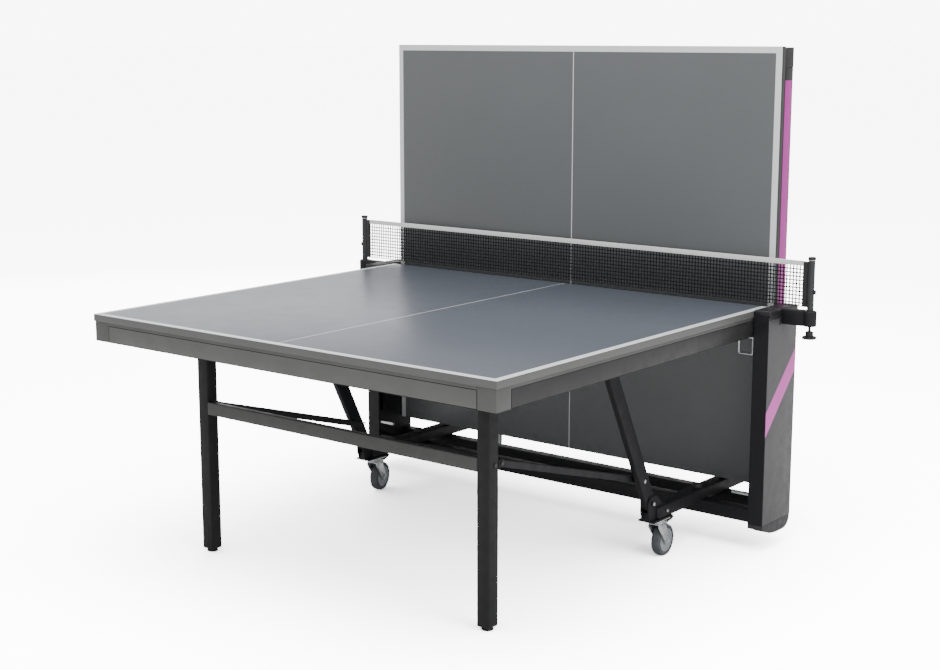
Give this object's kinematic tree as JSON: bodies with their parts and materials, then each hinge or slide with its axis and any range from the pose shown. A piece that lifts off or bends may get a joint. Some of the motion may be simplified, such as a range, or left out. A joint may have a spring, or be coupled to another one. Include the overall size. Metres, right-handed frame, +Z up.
{
  "type": "table tennis table",
  "caption": "Rollaway table tennis table with folding halves on a wheeled undercarriage: playing half open on its legs, opposite half upright behind the net.",
  "frame": {"origin": "on the floor, under the middle of the whole object", "axes": "+X across the table along the net, +Y along the table from the open half to the folded half, +Z up"},
  "size_m": [1.854, 1.774, 1.548],
  "materials": {
    "board": "blue-grey painted, satin, with light lines",
    "trim": "anthracite metallic, satin",
    "panel_near": "dark grey metallic, satin",
    "panel_far": "magenta to pink fade, satin",
    "black_steel": "black powder coat",
    "leg_steel": "dark grey powder coat",
    "cover": "anthracite metallic with a pink stripe",
    "zinc": "bright zinc plate",
    "black_plastic": "fine texture",
    "hub_plastic": "grey hub in a grey tread",
    "rubber": "matte",
    "netting": "black netting",
    "tape": "white band"
  },
  "bodies": {
    "undercarriage": {"cross_tubes": "black_steel", "beams": "black_steel", "arm_brackets": "black_steel", "caster_plates": "zinc", "columns": "black_steel", "column_covers": "cover", "column_shoes": "black_plastic", "column_caps": "black_plastic", "rest_pins": "zinc", "beam_bumpers": "rubber", "frame_bolts": "zinc", "net_brackets": "black_steel"},
    "net": {"net_posts": "black_steel", "net_sleeves": "netting", "net_mesh": "netting", "net_tape": "tape"},
    "net_knob_left": {"net_knob_left": "black_plastic"},
    "net_knob_right": {"net_knob_right": "black_plastic"},
    "near_guides": {"near_guide_pins": "zinc"},
    "near_half": {"near_board": "board", "near_side_rails": "trim", "near_end_rails": "trim", "near_corner_caps": "trim", "near_trim_panels": "panel_near", "near_cross_members": "black_steel", "near_long_members": "black_steel", "near_leg_brackets": "black_steel"},
    "near_release": {"near_release_bar": "zinc"},
    "near_legs": {"near_legs": "leg_steel"},
    "near_foot_left": {"near_foot_left": "black_plastic"},
    "near_foot_right": {"near_foot_right": "black_plastic"},
    "near_arms": {"near_arms": "black_steel"},
    "near_stays": {"near_stays": "leg_steel"},
    "far_guides": {"far_guide_pins": "zinc"},
    "far_half": {"far_board": "board", "far_side_rails": "trim", "far_end_rails": "trim", "far_corner_caps": "trim", "far_trim_panels": "panel_far", "far_cross_members": "black_steel", "far_long_members": "black_steel", "far_leg_brackets": "black_steel"},
    "far_release": {"far_release_bar": "zinc"},
    "far_legs": {"far_legs": "leg_steel"},
    "far_foot_left": {"far_foot_left": "black_plastic"},
    "far_foot_right": {"far_foot_right": "black_plastic"},
    "far_arms": {"far_arms": "black_steel"},
    "far_stays": {"far_stays": "leg_steel"},
    "fork_near_left": {"fork_near_left": "zinc"},
    "wheel_near_left": {"wheel_near_left": "hub_plastic"},
    "brake_near_left": {"brake_near_left": "black_plastic"},
    "fork_near_right": {"fork_near_right": "zinc"},
    "wheel_near_right": {"wheel_near_right": "hub_plastic"},
    "brake_near_right": {"brake_near_right": "black_plastic"},
    "fork_far_left": {"fork_far_left": "zinc"},
    "wheel_far_left": {"wheel_far_left": "hub_plastic"},
    "brake_far_left": {"brake_far_left": "black_plastic"},
    "fork_far_right": {"fork_far_right": "zinc"},
    "wheel_far_right": {"wheel_far_right": "hub_plastic"},
    "brake_far_right": {"brake_far_right": "black_plastic"}
  },
  "joints": [
    {"name": "net_knob_left_turn", "type": "hinge", "parent": "undercarriage", "child": "net_knob_left", "pos_m": [-0.905, 0.483, 0.7], "axis": [0, 0, 1], "range_deg": [0, 540]},
    {"name": "net_knob_right_turn", "type": "hinge", "parent": "undercarriage", "child": "net_knob_right", "pos_m": [0.905, 0.483, 0.7], "axis": [0, 0, 1], "range_deg": [0, 540]},
    {"name": "net_height", "type": "slide", "parent": "undercarriage", "child": "net", "axis": [0, 0, 1], "range_m": [0, 0.006]},
    {"name": "near_lift", "type": "slide", "parent": "undercarriage", "child": "near_guides", "axis": [0, -0.0485, -0.9988], "range_m": [0, 0.49458]},
    {"name": "near_fold", "type": "hinge", "parent": "near_guides", "child": "near_half", "pos_m": [0, 0.433, 0.722], "axis": [-1, 0, 0], "range_deg": [0, 90]},
    {"name": "near_legs_swing", "type": "hinge", "parent": "near_half", "child": "near_legs", "pos_m": [0, -0.639, 0.694], "axis": [-1, 0, 0], "range_deg": [-90, 0]},
    {"name": "near_stays_swing", "type": "hinge", "parent": "near_legs", "child": "near_stays", "pos_m": [0, -0.606, 0.461], "axis": [-1, 0, 0], "range_deg": [0, 73.8]},
    {"name": "near_arms_swing", "type": "hinge", "parent": "undercarriage", "child": "near_arms", "pos_m": [0, 0.109, 0.187], "axis": [-1, 0, 0], "range_deg": [0, 54.02]},
    {"name": "near_release_turn", "type": "hinge", "parent": "near_half", "child": "near_release", "pos_m": [0, 0.419, 0.671], "axis": [1, 0, 0], "range_deg": [0, 15], "stiffness_Nm_per_rad": 0.5, "springref_deg": -34.38},
    {"name": "near_foot_left_screw", "type": "slide", "parent": "near_legs", "child": "near_foot_left", "axis": [0, 0, -1], "range_m": [0, 0.006]},
    {"name": "near_foot_right_screw", "type": "slide", "parent": "near_legs", "child": "near_foot_right", "axis": [0, 0, -1], "range_m": [0, 0.006]},
    {"name": "far_lift", "type": "slide", "parent": "undercarriage", "child": "far_guides", "axis": [0, -0.0485, 0.9988], "range_m": [0, 0.49458]},
    {"name": "far_fold", "type": "hinge", "parent": "far_guides", "child": "far_half", "pos_m": [0, 0.557, 0.228], "axis": [-1, 0, 0], "range_deg": [0, 90]},
    {"name": "far_legs_swing", "type": "hinge", "parent": "far_half", "child": "far_legs", "pos_m": [0, 0.585, 1.3], "axis": [-1, 0, 0], "range_deg": [-90, 0]},
    {"name": "far_stays_swing", "type": "hinge", "parent": "far_legs", "child": "far_stays", "pos_m": [0, 0.552, 1.067], "axis": [-1, 0, 0], "range_deg": [0, 73.8]},
    {"name": "far_arms_swing", "type": "hinge", "parent": "undercarriage", "child": "far_arms", "pos_m": [0, 0.857, 0.187], "axis": [-1, 0, 0], "range_deg": [0, 54.02]},
    {"name": "far_release_turn", "type": "hinge", "parent": "far_half", "child": "far_release", "pos_m": [0, 0.608, 0.242], "axis": [-1, 0, 0], "range_deg": [0, 15], "stiffness_Nm_per_rad": 0.5, "springref_deg": -34.38},
    {"name": "far_foot_left_screw", "type": "slide", "parent": "far_legs", "child": "far_foot_left", "axis": [0, 0, -1], "range_m": [0, 0.006]},
    {"name": "far_foot_right_screw", "type": "slide", "parent": "far_legs", "child": "far_foot_right", "axis": [0, 0, -1], "range_m": [0, 0.006]},
    {"name": "swivel_near_left", "type": "hinge", "parent": "undercarriage", "child": "fork_near_left", "pos_m": [-0.58, 0.163, 0.12], "axis": [0, 0, 1], "continuous": true},
    {"name": "spin_near_left", "type": "hinge", "parent": "fork_near_left", "child": "wheel_near_left", "pos_m": [-0.58707, 0.19626, 0.05], "axis": [0.9781, 0.2079, 0], "continuous": true},
    {"name": "brake_near_left", "type": "hinge", "parent": "fork_near_left", "child": "brake_near_left", "pos_m": [-0.58416, 0.18256, 0.107], "axis": [-0.9781, -0.2079, 0], "range_deg": [0, 14]},
    {"name": "swivel_near_right", "type": "hinge", "parent": "undercarriage", "child": "fork_near_right", "pos_m": [0.58, 0.163, 0.12], "axis": [0, 0, 1], "continuous": true},
    {"name": "spin_near_right", "type": "hinge", "parent": "fork_near_right", "child": "wheel_near_right", "pos_m": [0.57881, 0.19698, 0.05], "axis": [0.9994, 0.0349, 0], "continuous": true},
    {"name": "brake_near_right", "type": "hinge", "parent": "fork_near_right", "child": "brake_near_right", "pos_m": [0.5793, 0.18299, 0.107], "axis": [-0.9994, -0.0349, 0], "range_deg": [0, 14]},
    {"name": "swivel_far_left", "type": "hinge", "parent": "undercarriage", "child": "fork_far_left", "pos_m": [-0.58, 0.803, 0.12], "axis": [0, 0, 1], "continuous": true},
    {"name": "spin_far_left", "type": "hinge", "parent": "fork_far_left", "child": "wheel_far_left", "pos_m": [-0.58, 0.837, 0.05], "axis": [1, 0, 0], "continuous": true},
    {"name": "brake_far_left", "type": "hinge", "parent": "fork_far_left", "child": "brake_far_left", "pos_m": [-0.58, 0.823, 0.107], "axis": [-1, 0, 0], "range_deg": [0, 14]},
    {"name": "swivel_far_right", "type": "hinge", "parent": "undercarriage", "child": "fork_far_right", "pos_m": [0.58, 0.803, 0.12], "axis": [0, 0, 1], "continuous": true},
    {"name": "spin_far_right", "type": "hinge", "parent": "fork_far_right", "child": "wheel_far_right", "pos_m": [0.58, 0.837, 0.05], "axis": [1, 0, 0], "continuous": true},
    {"name": "brake_far_right", "type": "hinge", "parent": "fork_far_right", "child": "brake_far_right", "pos_m": [0.58, 0.823, 0.107], "axis": [-1, 0, 0], "range_deg": [0, 14]}
  ],
  "couplings": [
    {"joint": "net_knob_left_turn", "follows": "net_height", "rad_per_m": 1570.8},
    {"joint": "net_knob_right_turn", "follows": "net_height", "rad_per_m": 1570.8},
    {"joint": "near_lift", "follows": "near_fold", "m_per_rad": 0.31486},
    {"joint": "near_legs_swing", "follows": "near_fold", "ratio": -1},
    {"joint": "near_stays_swing", "follows": "near_fold", "ratio": 0.82},
    {"joint": "near_arms_swing", "follows": "near_fold", "ratio": 0.60026},
    {"joint": "far_lift", "follows": "far_fold", "m_per_rad": 0.31486},
    {"joint": "far_legs_swing", "follows": "far_fold", "ratio": -1},
    {"joint": "far_stays_swing", "follows": "far_fold", "ratio": 0.82},
    {"joint": "far_arms_swing", "follows": "far_fold", "ratio": 0.60026}
  ]
}
